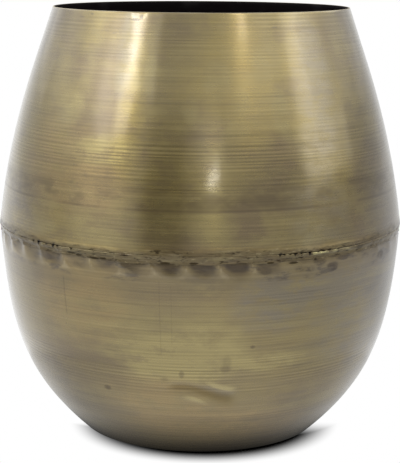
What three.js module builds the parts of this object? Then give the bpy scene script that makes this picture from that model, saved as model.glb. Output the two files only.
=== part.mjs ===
// Round metal vase: an upper shell and a lower bowl, both spun from sheet, joined at the belly.
// The bowl's edge is crimped into a smaller collar that slips up inside the shell, and the step is brazed.
// Millimetres, +Z up. The origin is on the floor, on the vase's axis, and the front faces -Y.

import * as THREE from "three";

// Overall sizes
const HEIGHT = 300;
const BELLY_DIAMETER = 286;
const SEAM_HEIGHT = 150;
const MOUTH_DIAMETER = 208;
const FOOT_DIAMETER = 168;
const SHEET = 1.0;

// Side curve of the shell: how far the curve runs straight on from each end, and its lean from upright there
const SHELL_BELLY_REACH = 65;
const SHELL_BELLY_LEAN_DEG = 6.7;
const SHELL_MOUTH_REACH = 43.5;
const SHELL_MOUTH_LEAN_DEG = 19;

// Side curve of the bowl, in the same way; at the foot the lean is from level
const BOWL_BELLY_REACH = 76.5;
const BOWL_BELLY_LEAN_DEG = 4;
const BOWL_FOOT_REACH = 58.5;
const BOWL_FOOT_RISE_DEG = 42;

// Base of the bowl: a flat standing ring round a centre that is pushed up
const FOOT_BEND_RADIUS = 2.2;
const STANDING_RING_WIDTH = 27;
const PUSH_UP = 2.5;
const PUSH_UP_SLOPE_WIDTH = 8;

// Crimped lap joint
const LAP = 9;
const LAP_CLEARANCE = 0.4;
const STEP_LENGTH = 9;
const STEP_SHOULDER = 1;
const CRIMP_COUNT = 44;
const CRIMP_DEPTH = 1.6;
const CRIMP_BELOW_SEAM = 17;
const CRIMP_RUN_IN = 8;
const CRIMP_ROUNDNESS = 2.4;
const CRIMP_LEAN_DEG = 1.8;

// Braze filler that fills the step under the shell's edge, and its thickness at its lower edge
const BRAZE_CLEARANCE = 0.3;
const BRAZE_EDGE = 0.3;

// Felt pads under the standing ring
const PAD_COUNT = 4;
const PAD_DIAMETER = 20;
const PAD_THICKNESS = 1.5;
const PAD_TURN_DEG = 45;

// Fineness of the faceted surfaces
const STEPS_PER_CRIMP = 4;
const SHELL_STEPS = 8;
const BOWL_WALL_STEPS = 7;
const BEND_STEPS = 2;
const RUN_IN_STEPS = 2;
const PAD_SIDES = 24;
const LEAST_BAND = 0.05;

const seamSegments = CRIMP_COUNT * STEPS_PER_CRIMP;
const wallSegments = seamSegments / 2;
const crimpStart = SEAM_HEIGHT - CRIMP_BELOW_SEAM;
const stepStart = SEAM_HEIGHT - STEP_LENGTH;
const stepEnd = SEAM_HEIGHT - STEP_SHOULDER;
const collarTop = SEAM_HEIGHT + LAP;
const stepDepth = SHEET + LAP_CLEARANCE;
const brazeBottom = stepStart + ((stepEnd - stepStart) * (BRAZE_CLEARANCE + BRAZE_EDGE)) / stepDepth;
const brazeMiddle = (brazeBottom + stepEnd) / 2;
const brazeTop = SEAM_HEIGHT - BRAZE_CLEARANCE;

const radians = THREE.MathUtils.degToRad;
const clamp = THREE.MathUtils.clamp;

// Side curves as (radius, height), each from its lower end to its upper end
const belly = new THREE.Vector2(BELLY_DIAMETER / 2, SEAM_HEIGHT);
const mouth = new THREE.Vector2(MOUTH_DIAMETER / 2, HEIGHT);
const foot = new THREE.Vector2(FOOT_DIAMETER / 2, PAD_THICKNESS);
const shellCurve = new THREE.CubicBezierCurve(
  belly,
  reachFrom(belly, 90 + SHELL_BELLY_LEAN_DEG, SHELL_BELLY_REACH),
  reachFrom(mouth, SHELL_MOUTH_LEAN_DEG - 90, SHELL_MOUTH_REACH),
  mouth
);
const bowlCurve = new THREE.CubicBezierCurve(
  foot,
  reachFrom(foot, BOWL_FOOT_RISE_DEG, BOWL_FOOT_REACH),
  reachFrom(belly, -90 - BOWL_BELLY_LEAN_DEG, BOWL_BELLY_REACH),
  belly
);

function reachFrom(point, angleDeg, length) {
  const angle = radians(angleDeg);
  return new THREE.Vector2(point.x + length * Math.cos(angle), point.y + length * Math.sin(angle));
}

// The curve's parameter at a height, by halving, because both curves only rise
function parameterAt(curve, height) {
  let low = 0;
  let high = 1;
  while (high - low > 1e-9) {
    const middle = (low + high) / 2;
    if (curve.getPoint(middle).y < height) {
      low = middle;
    } else {
      high = middle;
    }
  }
  return (low + high) / 2;
}

function radiusAt(height) {
  const curve = height < SEAM_HEIGHT ? bowlCurve : shellCurve;
  return curve.getPoint(parameterAt(curve, height)).x;
}

// A point on a curve, moved square to it towards the inside
function insetPoint(curve, t, inset) {
  const point = curve.getPoint(t);
  const tangent = curve.getTangent(t);
  return new THREE.Vector2(point.x - tangent.y * inset, point.y + tangent.x * inset);
}

function ramp(value, start, end) {
  return clamp((value - start) / (end - start), 0, 1);
}

// How far the bowl's wall is set in at a height, so that its collar passes up inside the shell
function setIn(height) {
  return stepDepth * ramp(height, stepStart, stepEnd);
}

// Turn of the crimps' ridges at a height: they lean sideways below the seam
function crimpTurn(height) {
  return radians(CRIMP_LEAN_DEG) * (1 - ramp(height, crimpStart, SEAM_HEIGHT));
}

// Depth of the crimps: round flutes with a narrow ridge between each two, one flute at the front.
// The angle is counted from the front, before the crimps' own turn.
function crimpDepth(angle, height) {
  const pitch = (2 * Math.PI) / CRIMP_COUNT;
  const across = angle / pitch - Math.round(angle / pitch);
  const flute = 1 - Math.pow(Math.abs(2 * across), CRIMP_ROUNDNESS);
  return CRIMP_DEPTH * flute * ramp(height, crimpStart, crimpStart + CRIMP_RUN_IN);
}

// A ring of points round the axis through a profile point, which a crimped ring moves in at its flutes
function ring(profilePoint, segments, crimped = true) {
  const height = profilePoint.y;
  const points = [];
  for (let i = 0; i < segments; i += 1) {
    const angle = (2 * Math.PI * i) / segments;
    const radius = crimped ? profilePoint.x - crimpDepth(angle, height) : profilePoint.x;
    const turned = angle + crimpTurn(height);
    points.push(new THREE.Vector3(radius * Math.sin(turned), -radius * Math.cos(turned), height));
  }
  return points;
}

function pole(height) {
  return [new THREE.Vector3(0, 0, height)];
}

// Triangles between two rings, of which one may be a single point or have twice the other's points
function bandTriangles(lower, upper, lowerStart, upperStart) {
  const triangles = [];
  const steps = Math.max(lower.length, upper.length);
  const lowerIndex = (step) => lowerStart + (Math.floor((step * lower.length) / steps) % lower.length);
  const upperIndex = (step) => upperStart + (Math.ceil((step * upper.length) / steps) % upper.length);
  for (let i = 0; i < steps; i += 1) {
    const corners = [lowerIndex(i), lowerIndex(i + 1), upperIndex(i + 1), upperIndex(i)];
    if (corners[0] !== corners[1]) {
      triangles.push(corners[0], corners[1], corners[2]);
    }
    if (corners[2] !== corners[3]) {
      triangles.push(corners[0], corners[2], corners[3]);
    }
  }
  return triangles;
}

// Closed skin over a run of rings that goes up the outside and back down the inside
function skin(rings, joinLastToFirst) {
  const positions = [];
  const starts = [];
  for (const points of rings) {
    starts.push(positions.length / 3);
    for (const point of points) {
      positions.push(point.x, point.y, point.z);
    }
  }
  const indices = [];
  const bands = joinLastToFirst ? rings.length : rings.length - 1;
  for (let i = 0; i < bands; i += 1) {
    const next = (i + 1) % rings.length;
    indices.push(...bandTriangles(rings[i], rings[next], starts[i], starts[next]));
  }
  const geometry = new THREE.BufferGeometry();
  geometry.setAttribute("position", new THREE.Float32BufferAttribute(positions, 3));
  geometry.setIndex(indices);
  geometry.computeVertexNormals();
  return geometry;
}

// Upper shell: from its edge over the lap to the cut edge of the mouth
function shellGeometry() {
  const outside = [];
  const inside = [];
  for (let i = 0; i <= SHELL_STEPS; i += 1) {
    const t = i / SHELL_STEPS;
    outside.push(shellCurve.getPoint(t));
    inside.push(insetPoint(shellCurve, t, SHEET));
  }
  inside[0].y = SEAM_HEIGHT;
  inside[SHELL_STEPS].y = HEIGHT;
  const profile = [...outside, ...inside.reverse(), outside[0]];
  const geometry = new THREE.LatheGeometry(profile, wallSegments);
  geometry.rotateX(Math.PI / 2);
  return geometry;
}

// Heights of the bowl's rings from the start of the crimps to the collar's edge, each height once
function crimpHeights() {
  const heights = [stepStart, brazeBottom, brazeMiddle, stepEnd, collarTop];
  for (let i = 0; i <= RUN_IN_STEPS; i += 1) {
    heights.push(crimpStart + (CRIMP_RUN_IN * i) / RUN_IN_STEPS);
  }
  heights.sort((a, b) => a - b);
  return heights.filter((height, i) => i === 0 || height - heights[i - 1] > LEAST_BAND);
}

// Underside and foot bend of the bowl, from the axis outwards
function basePoints(inset) {
  const rise = radians(BOWL_FOOT_RISE_DEG);
  const bendOutside = FOOT_BEND_RADIUS + SHEET;
  const bendRun = bendOutside * Math.tan(rise / 2);
  const ringOuter = foot.x - bendRun;
  const ringInner = ringOuter - STANDING_RING_WIDTH;
  const floor = PAD_THICKNESS + inset;
  const points = [
    new THREE.Vector2(ringInner - PUSH_UP_SLOPE_WIDTH, floor + PUSH_UP),
    new THREE.Vector2(ringInner, floor),
  ];
  for (let i = 0; i <= BEND_STEPS; i += 1) {
    const angle = (rise * i) / BEND_STEPS;
    const radius = bendOutside - inset;
    points.push(new THREE.Vector2(
      ringOuter + radius * Math.sin(angle),
      PAD_THICKNESS + bendOutside - radius * Math.cos(angle)
    ));
  }
  return points;
}

// Lower bowl: base, wall and crimped collar, as one spun sheet
function bowlGeometry() {
  const outside = [pole(PAD_THICKNESS + PUSH_UP)];
  const inside = [pole(PAD_THICKNESS + PUSH_UP + SHEET)];
  for (const point of basePoints(0)) {
    outside.push(ring(point, wallSegments));
  }
  for (const point of basePoints(SHEET)) {
    inside.push(ring(point, wallSegments));
  }
  const wallEnd = parameterAt(bowlCurve, crimpStart);
  for (let i = 1; i < BOWL_WALL_STEPS; i += 1) {
    const t = (wallEnd * i) / BOWL_WALL_STEPS;
    outside.push(ring(bowlCurve.getPoint(t), wallSegments));
    inside.push(ring(insetPoint(bowlCurve, t, SHEET), wallSegments));
  }
  for (const height of crimpHeights()) {
    const radius = radiusAt(height) - setIn(height);
    outside.push(ring(new THREE.Vector2(radius, height), seamSegments));
    inside.push(ring(new THREE.Vector2(radius - SHEET, height), seamSegments));
  }
  return skin([...outside, ...inside.reverse()], false);
}

// Braze filler: fills the step flush with the wall and runs into the flutes behind it
function brazeGeometry() {
  const outside = [];
  const inside = [];
  for (const height of [brazeBottom, brazeMiddle, brazeTop]) {
    const radius = radiusAt(height);
    outside.push(ring(new THREE.Vector2(radius, height), seamSegments, false));
    inside.push(ring(new THREE.Vector2(radius - setIn(height) + BRAZE_CLEARANCE, height), seamSegments));
  }
  return skin([...outside, ...inside.reverse()], true);
}

// Felt pad: a flat disc
function padGeometry() {
  const radius = PAD_DIAMETER / 2;
  const geometry = new THREE.CylinderGeometry(radius, radius, PAD_THICKNESS, PAD_SIDES);
  geometry.rotateX(Math.PI / 2);
  return geometry;
}

const agedBrass = new THREE.MeshStandardMaterial({ color: 0x8a7a50, roughness: 0.42, metalness: 0.9 });
const brazeAlloy = new THREE.MeshStandardMaterial({ color: 0x9a8746, roughness: 0.6, metalness: 0.8 });
const blackFelt = new THREE.MeshStandardMaterial({ color: 0x1b1a19, roughness: 1, metalness: 0 });

function named(name, geometry, material) {
  const mesh = new THREE.Mesh(geometry, material);
  mesh.name = name;
  return mesh;
}

const vase = new THREE.Group();
vase.add(named("upper_shell", shellGeometry(), agedBrass));
vase.add(named("lower_bowl", bowlGeometry(), agedBrass));
vase.add(named("braze_bead", brazeGeometry(), brazeAlloy));

const pads = new THREE.Group();
const standingRing = basePoints(0);
const padCircleRadius = (standingRing[1].x + standingRing[2].x) / 2;
for (let i = 0; i < PAD_COUNT; i += 1) {
  const angle = radians(PAD_TURN_DEG) + (2 * Math.PI * i) / PAD_COUNT;
  const pad = named(`felt_pad_${i + 1}`, padGeometry(), blackFelt);
  pad.position.set(padCircleRadius * Math.cos(angle), padCircleRadius * Math.sin(angle), PAD_THICKNESS / 2);
  pads.add(pad);
}
vase.add(pads);

export default vase;
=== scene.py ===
import functools
import math

import bmesh
import bpy
from mathutils import Matrix, Vector, geometry, noise


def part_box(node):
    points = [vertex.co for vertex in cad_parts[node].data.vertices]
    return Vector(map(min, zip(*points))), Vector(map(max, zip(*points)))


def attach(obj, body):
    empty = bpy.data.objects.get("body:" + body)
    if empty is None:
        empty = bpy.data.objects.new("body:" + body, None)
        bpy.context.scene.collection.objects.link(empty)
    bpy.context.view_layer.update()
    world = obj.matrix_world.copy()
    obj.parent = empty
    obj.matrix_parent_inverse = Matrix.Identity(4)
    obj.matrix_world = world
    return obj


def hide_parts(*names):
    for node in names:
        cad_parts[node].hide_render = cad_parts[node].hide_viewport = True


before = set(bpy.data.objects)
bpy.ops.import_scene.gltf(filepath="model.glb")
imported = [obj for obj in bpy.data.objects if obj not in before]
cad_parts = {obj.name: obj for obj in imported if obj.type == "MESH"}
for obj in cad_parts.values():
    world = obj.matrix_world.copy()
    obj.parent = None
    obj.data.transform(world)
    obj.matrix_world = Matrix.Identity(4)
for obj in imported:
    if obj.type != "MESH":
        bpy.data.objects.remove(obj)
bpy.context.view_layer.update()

MM = 0.001

# Heights and radii that the frame gives
shell_low, shell_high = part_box("upper_shell")
bowl_low, bowl_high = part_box("lower_bowl")
braze_low, braze_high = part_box("braze_bead")
RIM = shell_high.z - 0.01 * MM
SEAM = shell_low.z
BASE = bowl_low.z
COLLAR_TOP = bowl_high.z
BRAZE_LOW = braze_low.z
BRAZE_TOP = braze_high.z
BELLY_RADIUS = shell_high.x

# Sheet, side lines and base, as in the frame
SHEET = 1.0 * MM
MOUTH_RADIUS = 104 * MM
FOOT_RADIUS = 84 * MM
SHELL_BELLY_REACH = 65 * MM
SHELL_BELLY_LEAN = math.radians(6.7)
SHELL_MOUTH_REACH = 43.5 * MM
SHELL_MOUTH_LEAN = math.radians(19)
BOWL_BELLY_REACH = 76.5 * MM
BOWL_BELLY_LEAN = math.radians(4)
BOWL_FOOT_REACH = 58.5 * MM
BOWL_FOOT_RISE = math.radians(42)
FOOT_BEND = 3.2 * MM
STANDING_RING = 27 * MM
PUSH_UP = 2.5 * MM
PUSH_UP_SLOPE = 8 * MM

# Lap joint
LAP_CLEARANCE = 0.4 * MM
STEP_START = SEAM - 9 * MM
STEP_END = SEAM - 1 * MM
CRIMP_COUNT = 44
CRIMP_DEPTH = 1.6 * MM
CRIMP_START = SEAM - 17 * MM
CRIMP_RUN_IN = 10 * MM
CRIMP_ROUNDNESS = 2.4
CRIMP_LEAN = math.radians(1.8)
CRIMP_SPREAD = 0.07
CRIMP_SHIFT = 0.12
CRIMP_ARCH = 3 * MM
CRIMP_UNEVEN = 1.5 * MM
BRAZE_CLEARANCE = 0.25 * MM
BRAZE_LEAST = 0.3 * MM
FILLED_UP = 0.25 * MM

# Rounding of the cut edges
RIM_ROUNDING = 0.28 * MM
SEAM_ROUNDING = 0.2 * MM
PAD_ROUNDING = 0.3 * MM
RIM_FACE = 0.4 * MM

# How far the cut edge's waves and its soot reach
SEAM_WAVE_REACH = 6 * MM
SEAM_SOOT_REACH = 1.5 * MM
# Heights above its base where the bowl's wobble begins and is full
STEADY_FOOT = 3 * MM
FULL_WOBBLE = 20 * MM
# Size of the grains on the filler
BEAD_GRAIN = 2.6 * MM

# Fineness of the meshes. Segments are whole multiples of 2 to the power of DOUBLINGS
DOUBLINGS = 4
SHELL_SEGMENTS = 480
SHELL_STEPS = 90
BOWL_SEGMENTS = CRIMP_COUNT * 12
BOWL_STEPS = 72
CRIMP_STEPS = 15
BRAZE_SEGMENTS = CRIMP_COUNT * 24
BRAZE_STEPS = 9
BASE_STEPS_OUTSIDE = 7
BASE_STEPS_INSIDE = 5
SIDE_LINE_POINTS = 400
BOWL_LINE_POINTS = 1200

VASE_CENTRE = Vector((0, 0, SEAM))


def smooth(value, low, high):
    """0 below low, 1 above high, and an even S between them."""
    t = min(max((value - low) / (high - low), 0.0), 1.0)
    return t * t * (3 - 2 * t)


def hump(value, centre, half_width):
    """1 at the centre, falling smoothly to 0 at half_width on either side."""
    return 1 - smooth(abs(value - centre), 0, half_width)


def bell(value, half_width):
    """1 at 0, falling away on both sides without an end."""
    return math.exp(-((value / half_width) ** 2))


def reach(point, angle, length):
    """The place at a length from a point, in the direction of an angle."""
    return point + Vector((math.cos(angle), math.sin(angle))) * length


# Side lines as (radius, height)
belly = Vector((BELLY_RADIUS, SEAM))
mouth = Vector((MOUTH_RADIUS, RIM))
foot = Vector((FOOT_RADIUS, BASE))
shell_line = (
    belly,
    reach(belly, math.pi / 2 + SHELL_BELLY_LEAN, SHELL_BELLY_REACH),
    reach(mouth, SHELL_MOUTH_LEAN - math.pi / 2, SHELL_MOUTH_REACH),
    mouth,
)
bowl_line = (
    foot,
    reach(foot, BOWL_FOOT_RISE, BOWL_FOOT_REACH),
    reach(belly, -math.pi / 2 - BOWL_BELLY_LEAN, BOWL_BELLY_REACH),
    belly,
)
bowl_side = geometry.interpolate_bezier(*bowl_line, SIDE_LINE_POINTS)
fine_side = bowl_side[:-1] + geometry.interpolate_bezier(*shell_line, SIDE_LINE_POINTS)


def wall_radius(height):
    """The radius of the vase's outer line at a height."""
    low, high = 0, len(fine_side) - 1
    while high - low > 1:
        middle = (low + high) // 2
        if fine_side[middle].y < height:
            low = middle
        else:
            high = middle
    share = (height - fine_side[low].y) / (fine_side[high].y - fine_side[low].y)
    return fine_side[low].x + (fine_side[high].x - fine_side[low].x) * share


def inset(points, distance):
    """The points moved square to their line, towards the inside of the vase."""
    moved = []
    for i, point in enumerate(points):
        along = (points[min(i + 1, len(points) - 1)] - points[max(i - 1, 0)]).normalized()
        moved.append(point + Vector((-along.y, along.x)) * distance)
    return moved


def angle_of(place):
    return math.atan2(place.x, -place.y)


def around(angle, features, layer):
    """Smooth noise from -1 to 1 that closes on itself, with about so many features round the vase."""
    radius = features / (2 * math.pi)
    return noise.noise(Vector((radius * math.sin(angle), radius * math.cos(angle), layer)))


# Handwork of the joint

# Places under the shell's edge that the filler missed: angle and half width in degrees, depth in millimetres
PITS = (
    (-57.0, 0.8, 0.5),
    (-50.3, 1.0, 0.9),
    (-48.2, 0.9, 1.2),
    (-45.0, 0.8, 0.7),
    (-42.4, 1.1, 1.3),
    (-40.6, 0.8, 0.8),
    (-35.7, 0.8, 0.9),
    (-23.4, 1.2, 0.7),
    (20.9, 0.5, 0.9),
    (22.1, 0.6, 1.0),
    (23.8, 0.7, 0.8),
    (25.2, 0.6, 1.1),
    (27.0, 0.6, 0.8),
    (28.3, 0.5, 0.7),
    (29.6, 0.7, 1.2),
    (31.8, 1.0, 0.6),
    (33.9, 0.9, 0.6),
    (35.6, 0.7, 1.0),
    (39.0, 0.7, 0.5),
)
# Drops of filler that stand proud: angle and half width in degrees, height in millimetres
DROPS = (
    (-46.5, 1.0, 0.4),
    (-38.9, 1.2, 0.3),
    (31.2, 1.5, 0.8),
    (33.4, 1.9, 1.1),
    (35.4, 1.2, 0.6),
    (22.6, 2.0, 0.3),
    (27.2, 2.2, 0.35),
    (38.0, 2.4, 0.5),
    (42.5, 2.6, 0.4),
)


# The handwork is placed one by one up to the first angle on either side, and by noise past the second
PLACED_UP_TO = 60
STREWN_FROM = 75
# Left of the front the shell's cut edge shows up to the first angle, and is hidden past the second
EDGE_SHOWS_LEFT = (-40, -36)
# Stretches in degrees: where each begins and is full, and where it fades and ends
EDGE_SHOWS_RIGHT = (18, 21, 46, 52)
CRIMPS_FAINT_RIGHT = (14, 30, 80, 110)
CRIMPS_FADING_LEFT = (42, 56, 75, 95)
# Unevenness of the cut edge and of the spun sheet, long and short, in millimetres
SEAM_SWAY = 0.35
SEAM_QUIVER = 0.15
SHEET_WOBBLE = 0.16
SHEET_RIPPLE = 0.04


def behind(angle):
    """0 where the front of the vase is seen, 1 round its back, where noise alone places the handwork."""
    return smooth(abs(math.degrees(angle)), PLACED_UP_TO, STREWN_FROM)


def along(turn, stretch):
    """1 within a stretch, 0 outside it."""
    begins, full, fades, ends = stretch
    return smooth(turn, begins, full) * (1 - smooth(turn, fades, ends))


@functools.cache
def pit_depth(angle):
    """How deep the filler is missing under the shell's edge."""
    turn = math.degrees(angle)
    placed = sum(depth * hump(turn, centre, width) for centre, width, depth in PITS)
    placed *= 0.75 + 0.9 * around(angle, 210, 8.8)
    strewn = behind(angle) * max(around(angle, 150, 3.1) - 0.32, 0) * 4
    return (placed + strewn) * MM


@functools.cache
def drop_height(angle):
    """How far drops of filler stand proud."""
    turn = math.degrees(angle)
    placed = sum(height * hump(turn, centre, width) for centre, width, height in DROPS)
    strewn = behind(angle) * max(around(angle, 60, 5.7) - 0.3, 0) * 1.2
    return (placed + strewn) * MM


@functools.cache
def open_edge(angle):
    """1 where the shell's cut edge shows as a line, 0 where the filler runs up to it and hides it."""
    turn = math.degrees(angle)
    left = 1 - smooth(turn, *EDGE_SHOWS_LEFT)
    right = along(turn, EDGE_SHOWS_RIGHT)
    strewn = smooth(around(angle, 26, 9.6), -0.1, 0.1)
    return max(left, right, strewn * behind(angle)) * smooth(around(angle, 170, 12.2), -0.35, 0.0)


@functools.cache
def seam_wave(angle):
    """How far the shell's cut edge wanders up and down."""
    return (SEAM_SWAY * around(angle, 22, 1.3) + SEAM_QUIVER * around(angle, 120, 2.9)) * MM


@functools.cache
def crimp_strength(angle):
    """Deep crimps at the left and middle of the front, faint ones at its right, mixed ones behind."""
    turn = math.degrees(angle)
    faint = along(turn, CRIMPS_FAINT_RIGHT)
    fading = along(-turn, CRIMPS_FADING_LEFT)
    return (1 - 0.75 * faint) * (1 - 0.35 * fading) * (0.95 + 0.35 * around(angle, 30, 6.2))


def crimp_flute(angle, height):
    """1 in the middle of a crimp's trough, 0 on the ridges beside it."""
    turned = angle - CRIMP_LEAN * (1 - smooth(height, CRIMP_START, SEAM))
    turned -= CRIMP_SPREAD * math.sin(turned)
    place = turned * CRIMP_COUNT / (2 * math.pi)
    number = round(place)
    across = place - number
    shift = CRIMP_SHIFT * noise.noise(Vector((number * 3.7, 0.5, 0.5)))
    across += shift * (1 - 4 * across * across)
    start = CRIMP_START + CRIMP_ARCH * (2 * across) ** 2
    start += CRIMP_UNEVEN * noise.noise(Vector((number * 5.1, 3.5, 0.5)))
    return (1 - abs(2 * across) ** CRIMP_ROUNDNESS) * smooth(height, start, start + CRIMP_RUN_IN)


def crimp_depth(angle, height):
    """How far a crimp pushes the bowl's wall in."""
    return CRIMP_DEPTH * crimp_strength(angle) * crimp_flute(angle, height)


def set_in(height):
    """How far the bowl's collar steps in, to pass inside the shell."""
    return (SHEET + LAP_CLEARANCE) * smooth(height, STEP_START, STEP_END)


def hand_wobble(angle, height):
    """Slight unevenness of spun sheet, always inwards."""
    ring = Vector((math.sin(angle), math.cos(angle), height / BELLY_RADIUS))
    wobble = SHEET_WOBBLE * noise.noise(ring * 4.0) + SHEET_RIPPLE * noise.noise(ring * 13.0)
    return (wobble - SHEET_WOBBLE) * MM


# The long dent low on the bowl's front: its ends and changes in degrees, the heights of its deepest line,
# its section, and how high its lips stand for its depth
DENT_LEFT = -11
DENT_RIGHT = 13
DENT_END = 5
DENT_SLOPES = (-5, 10)
DENT_WIDENS = (-8, 6)
UPPER_LIP_RISES = (-1, 5)
LOWER_LIP_MIDDLE = -1
LOWER_LIP_REACH = 7
DENT_HIGH = 58.5 * MM
DENT_LOW = 49.5 * MM
DENT_DEPTH = 1.8 * MM
DENT_HALF_WIDTH = 4.0 * MM
DENT_LIP_AWAY = 7.2 * MM
DENT_LIP_HALF_WIDTH = 2.6 * MM
DENT_REACH = 26 * MM
UPPER_LIP = 0.4
LOWER_LIP = 0.3


def dent_depth(angle, height):
    """How deep the dent is, below 0 on the lips that it pushed up."""
    turn = math.degrees(angle)
    if not DENT_LEFT < turn < DENT_RIGHT or abs(height - BASE - DENT_HIGH) > DENT_REACH:
        return 0.0
    deepest = BASE + DENT_HIGH + (DENT_LOW - DENT_HIGH) * smooth(turn, *DENT_SLOPES)
    across = height - deepest
    wide = DENT_HALF_WIDTH * (0.75 + 0.35 * smooth(turn, *DENT_WIDENS))
    furrow = bell(across, wide)
    upper_lip = bell(across - DENT_LIP_AWAY, DENT_LIP_HALF_WIDTH) * smooth(turn, *UPPER_LIP_RISES)
    lower_lip = bell(across + DENT_LIP_AWAY, DENT_LIP_HALF_WIDTH)
    lower_lip *= hump(turn, LOWER_LIP_MIDDLE, LOWER_LIP_REACH)
    ends = smooth(turn, DENT_LEFT, DENT_LEFT + DENT_END)
    ends *= 1 - smooth(turn, DENT_RIGHT - DENT_END, DENT_RIGHT)
    return DENT_DEPTH * ends * (furrow - UPPER_LIP * upper_lip - LOWER_LIP * lower_lip)


# The nick in the rim, left of its middle
NICK_ANGLE = math.radians(-22.5)
NICK_HALF_WIDTH = math.radians(3.5)
NICK_REACH = 6 * MM
NICK_DEPTH = 0.35 * MM


# Meshes

def spun(section, segments, closed):
    """A mesh turned from a section of (radius, height) points: one sector, doubled until it meets itself."""
    made = bmesh.new()
    corners = [made.verts.new((0, -point.x, point.y)) for point in section]
    for first, second in zip(corners, corners[1:]):
        made.edges.new((first, second))
    if closed:
        made.edges.new((corners[-1], corners[0]))
    sector = 2 * math.pi / 2 ** DOUBLINGS
    bmesh.ops.spin(
        made,
        geom=made.verts[:] + made.edges[:],
        cent=(0, 0, 0),
        axis=(0, 0, 1),
        angle=sector,
        steps=segments // 2 ** DOUBLINGS,
    )
    for times in range(DOUBLINGS):
        copied = bmesh.ops.duplicate(made, geom=made.verts[:] + made.edges[:] + made.faces[:])["geom"]
        turned = [part for part in copied if isinstance(part, bmesh.types.BMVert)]
        bmesh.ops.rotate(made, verts=turned, matrix=Matrix.Rotation(sector * 2 ** times, 3, "Z"))
    bmesh.ops.remove_doubles(made, verts=made.verts[:], dist=0.002 * MM)
    bmesh.ops.recalc_face_normals(made, faces=made.faces[:])
    return made


def round_edges(made, edges, width, segments):
    bmesh.ops.bevel(
        made,
        geom=edges,
        offset=width,
        offset_type="OFFSET",
        affect="EDGES",
        segments=segments,
        profile=0.5,
        material=-1,
        clamp_overlap=True,
    )


def rings_at(made, height):
    """The edges that run round the vase at a height."""

    def on_ring(edge):
        first, second = (v.co for v in edge.verts)
        level = abs(first.z - height) + abs(second.z - height) < 0.02 * MM
        return level and abs(first.xy.length - second.xy.length) < 0.02 * MM

    return [edge for edge in made.edges if on_ring(edge)]


def shape_by_hand(made, move, hollow):
    """Moves each corner out and up by what move gives, and notes how deep it lies as the attribute hollow."""
    note = made.verts.layers.float.new("hollow")
    for v in made.verts:
        flat = v.co.xy.length
        if flat < 0.1 * MM:
            continue
        angle = round(angle_of(v.co), 5)
        v[note] = hollow(angle, v.co.z)
        outwards, up = move(angle, v.co)
        v.co.x *= 1 + outwards / flat
        v.co.y *= 1 + outwards / flat
        v.co.z += up


def in_scene(name, data):
    made = bpy.data.objects.new(name, data)
    bpy.context.scene.collection.objects.link(made)
    return made


def as_object(made, name, materials):
    """The object of a finished mesh, with its materials."""
    mesh = bpy.data.meshes.new(name)
    made.to_mesh(mesh)
    made.free()
    for material in materials:
        mesh.materials.append(material)
    return in_scene(name, mesh)


def finished(made, name, materials, replaced):
    """A smooth piece from a mesh, which rides on the vase and stands for its frame node."""
    for face in made.faces:
        face.smooth = True
    piece = as_object(made, name, materials)
    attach(piece, "root")
    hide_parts(replaced)


def looks_inwards(face):
    return face.normal.dot(VASE_CENTRE - face.calc_center_median()) > 0


def make_shell(outside, inside, cut_edge):
    outer = geometry.interpolate_bezier(*shell_line, SHELL_STEPS + 1)
    inner = inset(outer, SHEET)
    inner[0].y = SEAM
    inner[-1].y = RIM
    made = spun(outer + inner[::-2], SHELL_SEGMENTS, True)
    round_edges(made, rings_at(made, RIM), RIM_ROUNDING, 2)
    round_edges(made, rings_at(made, SEAM), SEAM_ROUNDING, 2)
    made.normal_update()
    for face in made.faces:
        at_rim = face.calc_center_median().z > RIM - RIM_FACE and face.normal.z > 0.3
        face.material_index = 2 if at_rim else int(looks_inwards(face))

    def move(angle, place):
        near_seam = 1 - smooth(place.z, SEAM, SEAM + SEAM_WAVE_REACH)
        nick = hump(angle, NICK_ANGLE, NICK_HALF_WIDTH) * smooth(place.z, RIM - NICK_REACH, RIM)
        return hand_wobble(angle, place.z) - NICK_DEPTH * nick, seam_wave(angle) * near_seam

    def hollow(angle, height):
        edge = max(min(pit_depth(angle) / MM, 1.0), 0.4 * open_edge(angle))
        return hump(height, SEAM, SEAM_SOOT_REACH) * edge

    shape_by_hand(made, move, hollow)
    finished(made, "upper_shell_spun", (outside, inside, cut_edge), "upper_shell")


def base_section(deeper, fineness):
    """The base as (radius, height), from the axis to the end of the foot's bend, on a face so much deeper."""
    ring_outer = FOOT_RADIUS - FOOT_BEND * math.tan(BOWL_FOOT_RISE / 2)
    ring_inner = ring_outer - STANDING_RING
    slope_start = ring_inner - PUSH_UP_SLOPE
    floor = BASE + deeper
    bend = FOOT_BEND - deeper
    section = [(slope_start * i / fineness, floor + PUSH_UP) for i in range(fineness)]
    for i in range(fineness + 1):
        share = i / fineness
        section.append((slope_start + PUSH_UP_SLOPE * share, floor + PUSH_UP * (1 - smooth(share, 0, 1))))
    section.append(((ring_inner + ring_outer) / 2, floor))
    for i in range(fineness):
        turn = BOWL_FOOT_RISE * i / (fineness - 1)
        section.append((ring_outer + bend * math.sin(turn), BASE + FOOT_BEND - bend * math.cos(turn)))
    return [Vector(point) for point in section]


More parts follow.
